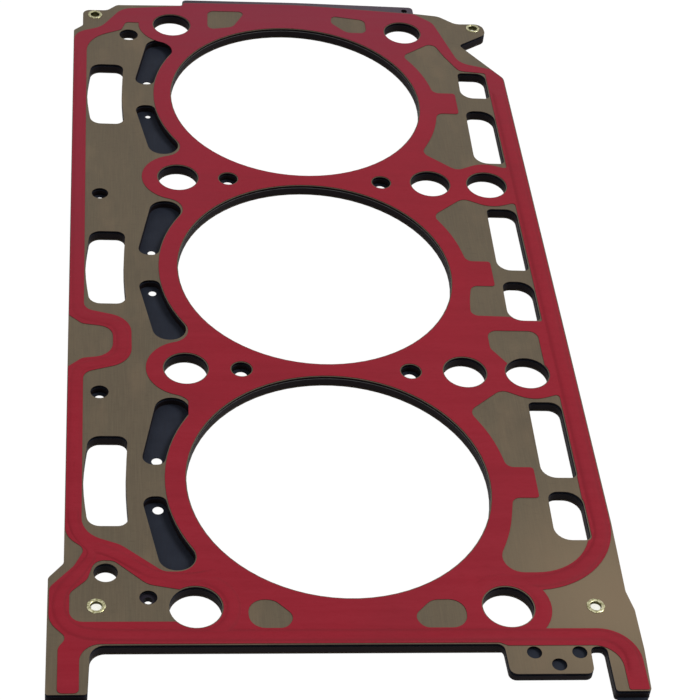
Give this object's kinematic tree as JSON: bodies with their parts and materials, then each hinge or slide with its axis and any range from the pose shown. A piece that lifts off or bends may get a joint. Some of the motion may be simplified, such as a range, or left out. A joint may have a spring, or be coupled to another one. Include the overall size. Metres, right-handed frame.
{
  "type": "cylinder head gasket",
  "caption": "Multi-layer steel cylinder head gasket with printed seals, cylinder openings in a row, coolant slots, bolt holes and riveted corners.",
  "frame": {"origin": "on the middle cylinder's axis, at the block-side face", "axes": "+Z out of the head side, +Y along the bank towards the rear edge, +X towards the side with the oil holes"},
  "size_m": [0.1545, 0.3168, 0.0039],
  "materials": {
    "seal_print": "thin screen-printed elastomer, satin",
    "outer_sheet": "spring steel with a thin translucent coating, satin",
    "inner_sheet": "spring steel with a dark blue-black coating",
    "carrier": "flat steel core with a dark coating",
    "stopper": "bare stainless steel",
    "rivet": "yellow zinc-plated tube rivet"
  },
  "bodies": {
    "root": {"head_seal_print": "seal_print", "head_seal_layer": "outer_sheet", "upper_inner_layer": "inner_sheet", "stopper_ring_rear": "stopper", "stopper_ring_middle": "stopper", "stopper_ring_front": "stopper", "carrier_layer": "carrier", "orifice_layer": "inner_sheet", "block_seal_layer": "outer_sheet", "block_seal_print": "seal_print", "rivet_front_left": "rivet", "rivet_front_right": "rivet", "rivet_rear_left": "rivet", "rivet_rear_right": "rivet"}
  },
  "joints": []
}
